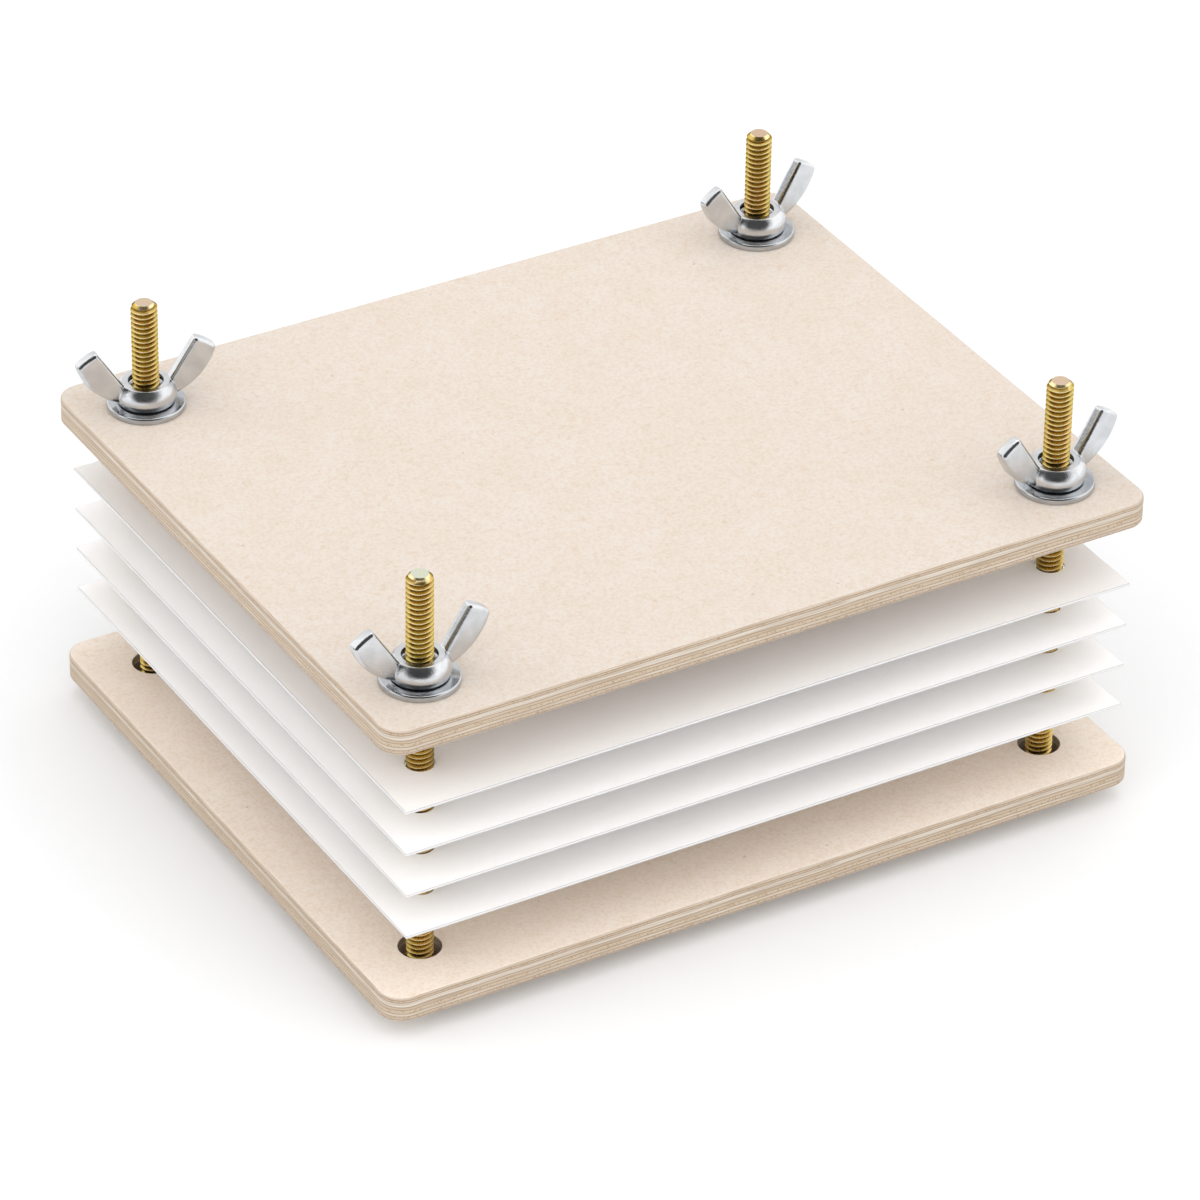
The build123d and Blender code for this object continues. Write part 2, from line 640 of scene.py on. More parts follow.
@dataclass(frozen=True)
class PlywoodFinish:
    """Pale sanded birch plywood: flecked faces, and layers with dark glue lines on the edges."""

    face: Colour = (0.655, 0.588, 0.527)
    warm_patch: Colour = (0.638, 0.557, 0.481)
    fibre: Colour = (0.53, 0.378, 0.242)
    speck: Colour = (0.28, 0.18, 0.10)
    glue: Colour = (0.30, 0.20, 0.115)
    glue_share: float = 0.018
    face_skin: float = 0.00005
    layer_wander: float = 0.00028
    wander_scale: float = 0.045
    wander_span: Span = (0.2, 0.8, -0.5, 0.5)
    streak_scales: Triple = (0.09, 0.09, 4.5)
    streak_span: Span = (0.35, 0.7, 0.0, 0.55)
    pore_scales: Triple = (1.9, 1.9, 1.7)
    pore_span: Span = (0.5, 0.68, 0.0, 0.62)
    patch_scale: float = 0.09
    patch_span: Span = (0.36, 0.66, 0.0, 0.45)
    grain_scale: float = 1.2
    grain_span: Span = (0.38, 0.74, 0.0, 0.27)
    fine_scale: float = 0.85
    fine_strength: float = 0.42
    coarse_scale: float = 0.42
    coarse_strength: float = 0.36
    curl_swirl: float = 1.4
    curl_span: Span = (0.0, 0.045, 1.0, 0.0)
    break_scale_share: float = 0.8
    break_span: Span = (0.47, 0.68, 0.0, 1.0)
    speck_scale: float = 0.11
    speck_span: Span = (0.02, 0.055, 1.0, 0.0)
    speck_strength: float = 0.4
    unspecked_share: float = 0.5
    fibre_relief: float = -0.8
    bump_depth: float = 0.00005
    bump_strength: float = 0.15
    rough_span: Span = (0.3, 0.7, 0.5, 0.68)
    gloss: float = 0.3
    layers: tuple[Ply, ...] = (
        Ply(0.09, (0.615, 0.52, 0.424), False),
        Ply(0.22, (0.498, 0.403, 0.313), True),
        Ply(0.34, (0.604, 0.53, 0.445), False),
        Ply(0.50, (0.519, 0.419, 0.318), True),
        Ply(0.62, (0.551, 0.456, 0.355), False),
        Ply(0.82, (0.625, 0.567, 0.493), False),
        Ply(0.91, (0.509, 0.408, 0.313), True),
        Ply(1.0, (0.562, 0.477, 0.392), False),
    )

    def layer_colours(self, nodes: Nodes, share: object) -> tuple[object, object]:
        """Colours the layers by their height in the board.

        Args:
            nodes: The material's nodes.
            share: The height, from 0 at the bottom face to 1 at the top face.

        Returns:
            The colour, and a mask that is white on end grain.
        """
        colours: list[tuple[float, Colour]] = []
        grains: list[tuple[float, Colour]] = []
        foot = 0.0
        for layer in self.layers:
            colours.append((foot + self.glue_share, layer.colour))
            colours.append((layer.top_share - 2 * self.glue_share, layer.colour))
            colours.append((layer.top_share - self.glue_share / 2, self.glue))
            grains.append((foot, (1, 1, 1) if layer.end_grain else (0, 0, 0)))
            foot = layer.top_share
        return nodes.ramp(share, colours[:-1], Fill.EVEN), nodes.ramp(share, grains, Fill.STEPPED)

    def edge(self, nodes: Nodes, place: object, height: object, thickness: float) -> object:
        """Draws the board's edge with its layers, streaks and end-grain pores.

        Args:
            nodes: The material's nodes.
            place: The coordinates in millimetres, counted from the board's foot.
            height: The height over that foot, in millimetres.
            thickness: The board's thickness.

        Returns:
            The colour output.
        """
        wander = nodes.spread(nodes.noise(place, self.wander_scale, detail=3), *self.wander_span)
        shift = nodes.math("MULTIPLY", wander, self.layer_wander * MILLIMETRES)
        share = nodes.math("DIVIDE", nodes.math("ADD", height, shift), thickness * MILLIMETRES)
        colour, end_grain = self.layer_colours(nodes, share)
        along = nodes.stretched(place, self.streak_scales)
        streaks = nodes.spread(nodes.noise(along, 1.0, detail=4, swirl=0.3), *self.streak_span)
        across = nodes.stretched(place, self.pore_scales)
        pores = nodes.spread(nodes.noise(across, 1.0, detail=2), *self.pore_span)
        return nodes.mix(nodes.blend(end_grain, streaks, pores), colour, self.glue)

    def fibres(self, nodes: Nodes, place: object, scale: float) -> object:
        """Draws short curly fibres on the face.

        Args:
            nodes: The material's nodes.
            place: The coordinates in millimetres.
            scale: How many curls there are to a millimetre.

        Returns:
            Their mask.
        """
        swirls = nodes.noise(place, scale, detail=3, swirl=self.curl_swirl)
        curls = nodes.spread(nodes.math("ABSOLUTE", nodes.math("SUBTRACT", swirls, 0.5)), *self.curl_span)
        breaks = nodes.noise(place, scale * self.break_scale_share, detail=2)
        return nodes.math("MULTIPLY", curls, nodes.spread(breaks, *self.break_span))

    def specks(self, nodes: Nodes, place: object) -> object:
        """Scatters a few small dark specks on the face.

        Args:
            nodes: The material's nodes.
            place: The coordinates in millimetres.

        Returns:
            Their mask.
        """
        cells = nodes.add("TexVoronoi", {"Vector": place, "Scale": self.speck_scale})
        dots = nodes.spread(cells.outputs["Distance"], *self.speck_span)
        chosen = nodes.add("SeparateColor", {0: cells.outputs["Color"]}).outputs[0]
        return nodes.math("MULTIPLY", dots, nodes.math("GREATER_THAN", chosen, self.unspecked_share))

    def material(self, name: str, low: Vector, high: Vector) -> bpy.types.Material:
        """Makes the material of one board.

        Args:
            name: The material's name.
            low: The lowest corner of the board's box.
            high: The highest corner of the board's box.

        Returns:
            The material.
        """
        material, nodes, shader = new_material(name)
        thickness = high.z - low.z
        place = nodes.placed(low.z)
        height = nodes.add("SeparateXYZ", {0: place}).outputs["Z"]
        edge = self.edge(nodes, place, height, thickness)

        patches, grain = mottle(nodes, place, self.patch_scale, self.grain_scale)
        fine = self.fibres(nodes, place, self.fine_scale)
        coarse = self.fibres(nodes, place, self.coarse_scale)
        specks = self.specks(nodes, place)
        face = nodes.mix(nodes.spread(patches, *self.patch_span), self.face, self.warm_patch)
        face = nodes.mix(nodes.spread(grain, *self.grain_span), face, self.fibre)
        for marks, strength, colour in (
            (fine, self.fine_strength, self.fibre),
            (coarse, self.coarse_strength, self.fibre),
            (specks, self.speck_strength, self.speck),
        ):
            face = nodes.mix(nodes.math("MULTIPLY", marks, strength), face, colour)

        half = thickness * MILLIMETRES / 2
        off_middle = nodes.math("ABSOLUTE", nodes.math("SUBTRACT", height, half))
        skin = self.face_skin * MILLIMETRES
        on_face = nodes.spread(off_middle, half - 2 * skin, half - skin, 0.0, 1.0)
        nodes.feed(shader.inputs["Base Color"], nodes.mix(on_face, edge, face))
        relief = nodes.math("ADD", grain, nodes.math("MULTIPLY", fine, self.fibre_relief))
        nodes.bump(shader, relief, self.bump_strength, self.bump_depth)
        nodes.feed(shader.inputs["Roughness"], nodes.spread(grain, *self.rough_span))
        shader.inputs["Specular IOR Level"].default_value = self.gloss
        return material


@dataclass(frozen=True)
class CardFinish:
    """White blotting card with a faint felt grain, greyer on its cut edges, with painted shade along each
    arris.
    """

    white: Colour = (0.945, 0.928, 0.916)
    shade: Colour = (0.915, 0.897, 0.885)
    cut: Colour = (0.72, 0.71, 0.715)
    # Painted shade: a grey line along each arris, where a face turns into a cut edge.
    arris_shade: Colour = (0.57, 0.56, 0.565)
    patch_scale: float = 0.02
    grain_scale: float = 2.2
    shade_span: Span = (0.35, 0.65, 0.0, 0.6)
    arris_shade_span: Span = (0.9, 0.99, 1.0, 0.0)
    cut_span: Span = (0.05, 0.3, 1.0, 0.0)
    bump_depth: float = 0.00003
    bump_strength: float = 0.25
    rough_span: Span = (0.3, 0.7, 0.62, 0.74)
    gloss: float = 0.25

    def material(self, name: str) -> bpy.types.Material:
        """Makes the material that all the cards share.

        Args:
            name: The material's name.

        Returns:
            The material.
        """
        material, nodes, shader = new_material(name)
        patches, grain = mottle(nodes, nodes.placed(), self.patch_scale, self.grain_scale)
        blend = nodes.math("MULTIPLY", nodes.math("ADD", patches, grain), 0.5)
        colour = nodes.mix(nodes.spread(blend, *self.shade_span), self.white, self.shade)
        level = nodes.noted("face_level")
        # Painted shade along the arris, then the grey of the cut edge.
        colour = nodes.mix(nodes.spread(level, *self.arris_shade_span), colour, self.arris_shade)
        colour = nodes.mix(nodes.spread(level, *self.cut_span), colour, self.cut)
        nodes.feed(shader.inputs["Base Color"], colour)
        nodes.bump(shader, grain, self.bump_strength, self.bump_depth)
        nodes.feed(shader.inputs["Roughness"], nodes.spread(patches, *self.rough_span))
        shader.inputs["Specular IOR Level"].default_value = self.gloss
        return material


@dataclass(frozen=True)
class ZincFinish:
    """Bright zinc plate: pale, a little uneven, with a fine grain."""

    bright: Colour = (0.68, 0.69, 0.705)
    dull: Colour = (0.575, 0.585, 0.60)
    smoothest: float = 0.13
    roughest: float = 0.27
    patch_scale: float = 0.22
    patch_weight: float = 0.7
    dull_span: Span = (0.35, 0.65, 0.0, 1.0)
    rough_from: Point = (0.32, 0.68)
    grain_scale: float = 5.0
    bump_depth: float = 0.00002
    bump_strength: float = 0.3

    def material(self, name: str) -> bpy.types.Material:
        """Makes the material of the washers or of the wing nuts.

        Args:
            name: The material's name.

        Returns:
            The material.
        """
        material, nodes, shader = new_material(name)
        patches, grain = mottle(nodes, nodes.placed(), self.patch_scale, self.grain_scale)
        broad = nodes.math("MULTIPLY", patches, self.patch_weight)
        wear = nodes.math("ADD", broad, nodes.math("MULTIPLY", grain, 1 - self.patch_weight))
        colour = nodes.mix(nodes.spread(wear, *self.dull_span), self.bright, self.dull)
        nodes.feed(shader.inputs["Base Color"], colour)
        rough = nodes.spread(wear, *self.rough_from, self.smoothest, self.roughest)
        nodes.feed(shader.inputs["Roughness"], rough)
        nodes.bump(shader, grain, self.bump_strength, self.bump_depth)
        shader.inputs["Metallic"].default_value = 1.0
        return material


@dataclass(frozen=True)
class YellowPassivateFinish:
    """Yellow-passivated steel: gold, rosy and olive, with painted shade in the grooves and painted highlight
    on crests.
    """

    gold: Colour = (0.69, 0.50, 0.135)
    rosy: Colour = (0.70, 0.46, 0.18)
    olive: Colour = (0.58, 0.50, 0.145)
    # Painted highlight along the thread's crests and over the end's chamfer.
    crest_highlight: Colour = (0.93, 0.79, 0.46)
    # Painted shade, deepest at the bottom of the thread's grooves.
    groove_shade: Colour = (0.22, 0.14, 0.036)
    rosy_end: Colour = (0.80, 0.60, 0.44)
    green_end: Colour = (0.76, 0.79, 0.64)
    edge_tint: Colour = (0.1, 0.08, 0.06)
    patch_scale: float = 0.14
    grain_scale: float = 4.0
    rosy_span: Span = (0.5, 0.72, 0.0, 0.8)
    olive_span: Span = (0.48, 0.28, 0.0, 0.8)
    groove_shade_span: Span = (-0.1, 1.0, 0.0, 0.8)
    crest_highlight_span: Span = (0.02, 0.1, 0.85, 0.0)
    bump_depth: float = 0.00001
    bump_strength: float = 0.25
    rough_span: Span = (0.3, 0.7, 0.2, 0.34)

    def material(self, name: str) -> bpy.types.Material:
        """Makes the material that all the bolts share.

        Args:
            name: The material's name.

        Returns:
            The material.
        """
        material, nodes, shader = new_material(name)
        patches, grain = mottle(nodes, nodes.placed(), self.patch_scale, self.grain_scale)
        depth = nodes.noted("groove_depth")
        tint_and_painted_light = nodes.mix(nodes.spread(patches, *self.rosy_span), self.gold, self.rosy)
        tint_and_painted_light = nodes.mix(nodes.spread(patches, *self.olive_span), tint_and_painted_light, self.olive)
        # Painted shade in the grooves, then a painted highlight along the crests.
        tint_and_painted_light = nodes.mix(nodes.spread(depth, *self.groove_shade_span), tint_and_painted_light, self.groove_shade)
        tint_and_painted_light = nodes.mix(nodes.spread(depth, *self.crest_highlight_span), tint_and_painted_light, self.crest_highlight)
        cut = nodes.mix(nodes.noted("green_end"), self.rosy_end, self.green_end)
        nodes.feed(shader.inputs["Base Color"], nodes.mix(nodes.noted("end_face"), tint_and_painted_light, cut))
        nodes.feed(shader.inputs["Roughness"], nodes.spread(grain, *self.rough_span))
        nodes.bump(shader, grain, self.bump_strength, self.bump_depth)
        shader.inputs["Metallic"].default_value = 1.0
        shader.inputs["Specular Tint"].default_value = (*self.edge_tint, 1)
        return material


# Pieces


@dataclass
class PlywoodBoard:
    """A plywood board with rounded corners, eased edges and a hole for each bolt."""

    node: str
    finish: PlywoodFinish
    corner_radius: float = 0.006
    corner_steps: int = 12
    arris: float = 0.0006
    arris_steps: int = 4
    hole_radius: float = 0.005
    hole_arris: float = 0.00025
    hole_arris_steps: int = 2
    hole_sides: int = 64
    crease: float = 32.0

    def build(self) -> bpy.types.Object:
        """Models the board.

        Returns:
            The board.
        """
        low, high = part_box(self.node)
        board = block(f"{self.node}_plywood", low, high)
        ease(board, lambda edge: abs(edge.verts[0].co.z - edge.verts[1].co.z) > NEAR, self.corner_radius,
             self.corner_steps)
        ease(board, lambda edge: abs(edge.verts[0].co.z - edge.verts[1].co.z) < NEAR, self.arris,
             self.arris_steps)
        pierce(board, self.node, self.hole_radius, self.hole_sides, self.arris)
        places = [axis_of(f"bolt_{corner}") for corner in CORNERS]

        def is_hole_rim(edge: bmesh.types.BMEdge) -> bool:
            """Says whether an edge goes round the mouth of a hole.

            Args:
                edge: The edge.

            Returns:
                True if it does.
            """
            middle = (edge.verts[0].co + edge.verts[1].co) / 2
            level = min(abs(middle.z - low.z), abs(middle.z - high.z)) < NEAR
            gaps = [abs((middle - place).xy.length - self.hole_radius) for place in places]
            return level and min(gaps) < self.hole_arris / 2

        ease(board, is_hole_rim, self.hole_arris, self.hole_arris_steps)
        smooth(board, self.crease)
        return board

    def make(self) -> None:
        """Models the board, dresses it and hands it over."""
        low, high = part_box(self.node)
        hand_over(self.build(), self.node, self.finish.material(f"{self.node}_birch", low, high))


@dataclass
class CardStack:
    """The white cards, each punched to slide on the bolts."""

    material: bpy.types.Material
    count: int = 4
    hole_radius: float = 0.003475
    hole_sides: int = 48
    cut_edge: float = 0.00016
    cut_steps: int = 2
    crease: float = 32.0

    def build(self, node: str) -> bpy.types.Object:
        """Models one card in the box of its node.

        Args:
            node: The card's node.

        Returns:
            The card.
        """
        card = block(f"{node}_card", *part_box(node))
        ease(card, lambda edge: True, self.cut_edge, self.cut_steps)
        pierce(card, node, self.hole_radius, self.hole_sides, self.hole_radius)
        note(card, "face_level", Domain.FACE, [abs(face.normal.z) for face in card.data.polygons])
        smooth(card, self.crease)
        return card

    def make(self) -> None:
        """Models the cards and hands them over."""
        for number in range(1, self.count + 1):
            node = f"sheet_{number}"
            hand_over(self.build(node), node, self.material)


@dataclass
class HexBolt:
    """A long bolt that stands on its hexagon head, threaded along its whole shank."""

    material: bpy.types.Material
    head_sides: int = 6
    across_flats: float = 0.0111
    head_face_share: float = 0.96
    head_chamfer_angle: float = 30.0
    radius: float = 0.003175
    pitch: float = 0.00127
    thread_depth: float = 0.00072
    end_chamfer: float = 0.00115
    steps: int = 32
    spare_turns: int = 4
    thread_shares: tuple[Point, ...] = (
        (0.12, 0.0), (0.425, 0.94), (0.447, 1.0), (0.553, 1.0), (0.575, 0.94), (0.88, 0.0), (1.12, 0.0),
    )
    green_ends: tuple[float, ...] = (1.0, 0.1, 0.2, 0.0)
    cone_twist: float = 1.3
    turned_sides: int = 96
    plain_end_share: float = 0.6
    crease: float = 35.0
    # The depth that the head is given: a little of the painted shade of the grooves, none of the painted
    # highlight of the crests.
    head_groove_depth: float = 0.15

    def head(self, low: float, high: float) -> bpy.types.Object:
        """Models the head, with its lower corners chamfered.

        Args:
            low: The level of its foot.
            high: The level of its upper face.

        Returns:
            The head, on the Z axis.
        """
        head = bar("bolt_head", self.across_flats / math.sqrt(3), low, high, self.head_sides)
        half_side = math.radians(180 / self.head_sides)
        with editing(head):
            bpy.ops.mesh.select_all(action="SELECT")
            bpy.ops.transform.rotate(value=half_side, orient_axis="Z", center_override=(0, 0, 0))
        face = self.across_flats / 2 * self.head_face_share
        spare = (high - low) / 4
        flare = 1 / math.tan(math.radians(self.head_chamfer_angle))
        bpy.ops.object.select_all(action="DESELECT")
        bpy.ops.mesh.primitive_cone_add(vertices=self.turned_sides, radius1=face - spare * flare,
                                        radius2=face + (high - low + spare) * flare,
                                        depth=high - low + 2 * spare, location=(0, 0, (low + high) / 2),
                                        rotation=(0, 0, math.radians(self.cone_twist)))
        combine(head, settle(bpy.context.object, "head_turning"), Join.KEEP_SHARED)
        return head

    def shank(self, low: float, high: float) -> bpy.types.Object:
        """Models the threaded shank, with its free end chamfered.

        Args:
            low: The level where it begins, inside the head.
            high: The level of its free end.

        Returns:
            The shank, on the Z axis.
        """
        start = low - self.spare_turns / 2 * self.pitch
        points = []
        for along, out in self.thread_shares:
            reach = self.radius - self.thread_depth * (1 - out)
            points.append(Vector((reach, 0, start + along * self.pitch)))
        shank = outline("bolt_shank", points)
        turns = math.ceil((high - low) / self.pitch) + self.spare_turns
        treat(shank, "SCREW", angle=2 * math.pi, screw_offset=self.pitch, iterations=turns, steps=self.steps,
              axis="Z")
        close_up(shank)
        with editing(shank):
            for level, way in ((low, -1), (high, 1)):
                bpy.ops.mesh.select_all(action="SELECT")
                bpy.ops.mesh.bisect(plane_co=(0, 0, level), plane_no=(0, 0, way), use_fill=True,
                                    clear_outer=True, threshold=FINEST)
            bpy.ops.mesh.select_all(action="SELECT")
            bpy.ops.mesh.normals_make_consistent(inside=False)
        pencil = bar("bolt_end", self.radius + self.end_chamfer, low - self.pitch, high, self.turned_sides)
        ease(pencil, lambda edge: all(abs(v.co.z - high) < NEAR for v in edge.verts), 2 * self.end_chamfer, 1)
        combine(shank, pencil, Join.KEEP_SHARED)
        return shank

    def mark(self, bolt: bpy.types.Object, head_top: float, high: float) -> None:
        """Notes on each vertex how far it lies below the thread's crests, and on each face whether it is the
        free end.

        Args:
            bolt: The bolt, on the Z axis.
            head_top: The level of the head's upper face.
            high: The level of the free end.
        """
        # The depth sets the painted shade in the grooves and the painted highlight on the crests; the head
        # gets a fixed depth, which gives it a little painted shade, and the end's chamfer none, which gives
        # it the painted highlight.
        grooves = []
        for vertex in bolt.data.vertices:
            depth = (self.radius - vertex.co.xy.length) / self.thread_depth
            if vertex.co.z < head_top - NEAR:
                depth = self.head_groove_depth
            elif vertex.co.z > high - self.end_chamfer * self.plain_end_share:
                depth = 0.0
            grooves.append(min(max(depth, 0.0), 1.0))
        ends = [1.0 if face.center.z > high - NEAR else 0.0 for face in bolt.data.polygons]
        note(bolt, "groove_depth", Domain.VERTEX, grooves)
        note(bolt, "end_face", Domain.FACE, ends)

    def make(self) -> None:
        """Models the bolt once and hands over a copy at each corner."""
        node = f"bolt_{CORNERS[0]}"
        low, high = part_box(node)
        head_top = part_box(f"lower_washer_{CORNERS[0]}")[0].z
        master = self.head(low.z, head_top)
        combine(master, self.shank(head_top - self.pitch, high.z), Join.WELD)
        self.mark(master, head_top, high.z)
        smooth(master, self.crease)
        for index, corner in enumerate(CORNERS):
            node = f"bolt_{corner}"
            piece = copy_at(master, f"{node}_threaded", axis_of(node), 360 / self.head_sides * index)
            note(piece, "green_end", Domain.VERTEX, [self.green_ends[index]] * len(piece.data.vertices))
            hand_over(piece, node, self.material)
        discard(master)


@dataclass
class FlatWasher:
    """A pressed flat washer: rounded over on one side, sharp on the other."""

    material: bpy.types.Material
    bore_radius: float = 0.003575
    sides: int = 128
    rolled_rim: float = 0.00045
    rolled_steps: int = 4
    sharp_rim: float = 0.0003
    sharp_steps: int = 2
    crease: float = 40.0

    def build(self, name: str, node: str, rolled_up: bool) -> bpy.types.Object:
        """Models a washer on the Z axis.

        Args:
            name: The object's name.
            node: The node whose box gives its size and level.
            rolled_up: Whether the rounded side is the upper one.

        Returns:
            The washer.
        """
        low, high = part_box(node)
        radius = (high.x - low.x) / 2
        washer = bar(name, radius, low.z, high.z, self.sides)
        with editing(washer):
            choose(washer, Element.FACE, lambda face: abs(face.normal.z) > 0.5)
            bpy.ops.mesh.inset(thickness=radius - self.bore_radius)
            bpy.ops.mesh.bridge_edge_loops()
        middle = (low.z + high.z) / 2

        def is_rolled(edge: bmesh.types.BMEdge) -> bool:
            """Says whether an edge is the outer rim of the rounded side.

            Args:
                edge: The edge.

            Returns:
                True if it is.
            """
            levels = [v.co.z > middle for v in edge.verts]
            outer = min(v.co.xy.length for v in edge.verts) > radius - NEAR
            return outer and all(level == rolled_up for level in levels)

        def is_sharp(edge: bmesh.types.BMEdge) -> bool:
            """Says whether an edge is a rim of the bore, or the outer rim of the sharp side.

            Args:
                edge: The edge.

            Returns:
                True if it is.
            """
            levels = [v.co.z > middle for v in edge.verts]
            inner = max(v.co.xy.length for v in edge.verts) < self.bore_radius + self.sharp_rim
            outer = min(v.co.xy.length for v in edge.verts) > radius - NEAR
            return levels[0] == levels[1] and (inner or (outer and levels[0] != rolled_up))

        ease(washer, is_rolled, self.rolled_rim, self.rolled_steps)
        ease(washer, is_sharp, self.sharp_rim, self.sharp_steps)
        smooth(washer, self.crease)
        return washer

    def make(self) -> None:
        """Models an upper and a lower washer once and hands over a copy at each corner."""
        for kind, rolled_up in (("upper_washer", True), ("lower_washer", False)):
            master = self.build(f"{kind}_master", f"{kind}_{CORNERS[0]}", rolled_up)
            for corner in CORNERS:
                node = f"{kind}_{corner}"
                hand_over(copy_at(master, f"{node}_zinc", axis_of(node)), node, self.material)
            discard(master)


@dataclass
class WingNut:
    """A cast wing nut: a round-bellied hub with a flat top ring, and two wings that rise along X."""

    material: bpy.types.Material
    height: float = 0.0053
    seat_radius: float = 0.0057
    undercut: float = 0.00028
    base_radius: float = 0.0068
    belly_radius: float = 0.0072
    belly_height_share: float = 0.36
    top_radius: float = 0.0056
    mouth_radius: float = 0.0042
    bore_radius: float = 0.003225
    wing_span: float = 0.034
    wing_top: float = 0.0152
    wing_breadth: float = 0.006
    wing_thickness: float = 0.0036
    wing_taper: float = -0.1
    wing_rise: float = 57.5
    wing_belly: float = 0.002
    wing_crown: float = 0.00035
    rim_round: float = 0.001
    tip_corner: float = 0.0006
    mouth_depth: float = 0.0014
    root_top_share: float = 0.8
    root_low_share: float = 0.13
    root_inset_share: float = 0.84
    grain: float = 0.00012
    softening: int = 2
    softness: float = 0.5
    kept_share: float = 0.5
    turned_steps: int = 128
    belly_steps: int = 16
    crown_steps: int = 6
    corner_steps: int = 3
    rim_steps: int = 4
    crease: float = 40.0
    turned: tuple[float, ...] = (-1.0, 5.0, -10.0, 6.0)

    def hub(self) -> bpy.types.Object:
        """Turns the hub as a solid that stands on the ground.

        Returns:
            The hub.
        """
        seat = Vector((self.seat_radius, 0, 0))
        neck = Vector((self.seat_radius, 0, self.undercut))
        foot = Vector((self.base_radius, 0, self.undercut))
        belly = Vector((self.belly_radius, 0, self.height * self.belly_height_share))
        rim = Vector((self.top_radius, 0, self.height))
        side = arc(foot, belly, rim, self.belly_steps)
        points = [Vector((0, 0, 0)), seat, neck, *side, Vector((0, 0, self.height))]
        return turn("nut_hub", points, self.turned_steps)

    def wing_outline(self) -> list[Vector]:
        """Draws the outline of the wing on the +X side: straight inside, bellied outside, crowned tip.

        Returns:
            The outline's points in order.
        """
        rise = math.radians(self.wing_rise)
        tip_x = self.wing_span / 2 - self.wing_breadth * math.sin(rise)
        tip_inner = Vector((tip_x, 0, self.wing_top))
        drop = self.wing_breadth * math.cos(rise)
        tip_outer = Vector((self.wing_span / 2, 0, self.wing_top - drop))
        root_height = self.height * self.root_top_share
        root_x = tip_x - (self.wing_top - root_height) / math.tan(rise)
        root_low = Vector((self.belly_radius * self.root_inset_share, 0, self.height * self.root_low_share))
        tip = bowed(tip_inner, tip_outer, self.wing_crown, self.crown_steps)
        belly = bowed(tip_outer, root_low, self.wing_belly, self.belly_steps)
        return [Vector((root_x, 0, root_height)), *tip, *belly[1:], Vector((0, 0, root_low.z))]

    def wings(self) -> bpy.types.Object:
        """Models both wings as solids that reach into the hub.

        Returns:
            The wings, as one object.
        """
        points = self.wing_outline()
        wing = outline("nut_wings", [*points, points[0]])
        half = Vector((0, self.wing_thickness / 2, 0))
        with editing(wing):
            bpy.ops.mesh.select_all(action="SELECT")
            bpy.ops.mesh.remove_doubles(threshold=NEAR)
            bpy.ops.transform.translate(value=half)
            bpy.ops.mesh.edge_face_add()
            bpy.ops.mesh.extrude_region_move(TRANSFORM_OT_translate={"value": -2 * half})
        self.round_edges(wing, points)
        treat(wing, "SIMPLE_DEFORM", deform_method="TAPER", deform_axis="Z", factor=self.wing_taper,
              lock_x=True)
        second = copy_at(wing, "nut_second_wing", Vector((0, 0, 0)), 180)
        for solid in (wing, second):
            close_up(solid)
        combine(wing, second, Join.WELD)
        return wing

    def round_edges(self, wing: bpy.types.Object, points: list[Vector]) -> None:
        """Rounds the two corners of a wing's tip, then the rims of its flat sides.

        Args:
            wing: The wing, as a flat solid.
            points: The wing's outline.
        """
        rise = math.radians(self.wing_rise)
        along = Vector((math.cos(rise), 0, math.sin(rise)))
        level = points[1].dot(along)

        def is_corner(edge: bmesh.types.BMEdge) -> bool:
            """Says whether an edge crosses the wing at one of the tip's corners."""
            first, second = (v.co for v in edge.verts)
            return abs(first.y - second.y) > NEAR and abs(first.dot(along) - level) < NEAR

        ease(wing, is_corner, self.tip_corner, self.corner_steps)
        ease(wing, lambda edge: abs(edge.verts[0].co.y - edge.verts[1].co.y) < NEAR, self.rim_round,
             self.rim_steps)

    def bore(self) -> bpy.types.Object:
        """Turns the solid that cuts the bore, with a countersink below and a step above.

        Returns:
            The solid.
        """
        overrun = self.mouth_radius - self.bore_radius
        wide = self.mouth_radius + overrun
        floor = self.height - self.mouth_depth
        top = self.height + overrun
        bore, mouth = self.bore_radius, self.mouth_radius
        reach = [(0, -overrun), (wide, -overrun), (bore, overrun), (bore, floor - overrun)]
        reach += [(mouth, floor), (mouth, top), (0, top)]
        return turn("nut_bore", [Vector((x, 0, z)) for x, z in reach], self.turned_steps)

    def build(self) -> bpy.types.Object:
        """Models the nut on the Z axis, standing on the ground.

        Returns:
            The nut.
        """
        nut = self.hub()
        combine(nut, self.wings(), Join.WELD)
        treat(nut, "REMESH", mode="VOXEL", voxel_size=self.grain)
        treat(nut, "SMOOTH", factor=self.softness, iterations=self.softening)
        treat(nut, "DECIMATE", ratio=self.kept_share)
        combine(nut, self.bore(), Join.TAKE_AWAY)
        smooth(nut, self.crease)
        return nut

    def make(self) -> None:
        """Models the nut once and hands over a copy at each corner."""
        master = self.build()
        for corner, angle in zip(CORNERS, self.turned):
            node = f"wing_nut_{corner}"
            place = axis_of(node) + Vector((0, 0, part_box(node)[0].z))
            hand_over(copy_at(master, f"{node}_cast", place, angle), node, self.material)
        discard(master)


# Studio


@dataclass(frozen=True)
class SoftBox:
    """A square lamp that looks at the press."""

    name: str
    place: Triple
    width: float
    watts: float


@dataclass(frozen=True)
class Lobe:
    """A wide soft patch of light in the sky: its turn from the camera's side, its height and its strength."""

    turned: float
    height: float
    strength: float


@dataclass(frozen=True)
class Flag:
    """A dark patch of the sky that only gloss mirrors, with the light left in it and the span of its edge."""

    turned: float
    height: float
    rest: float
    outside: float
    inside: float


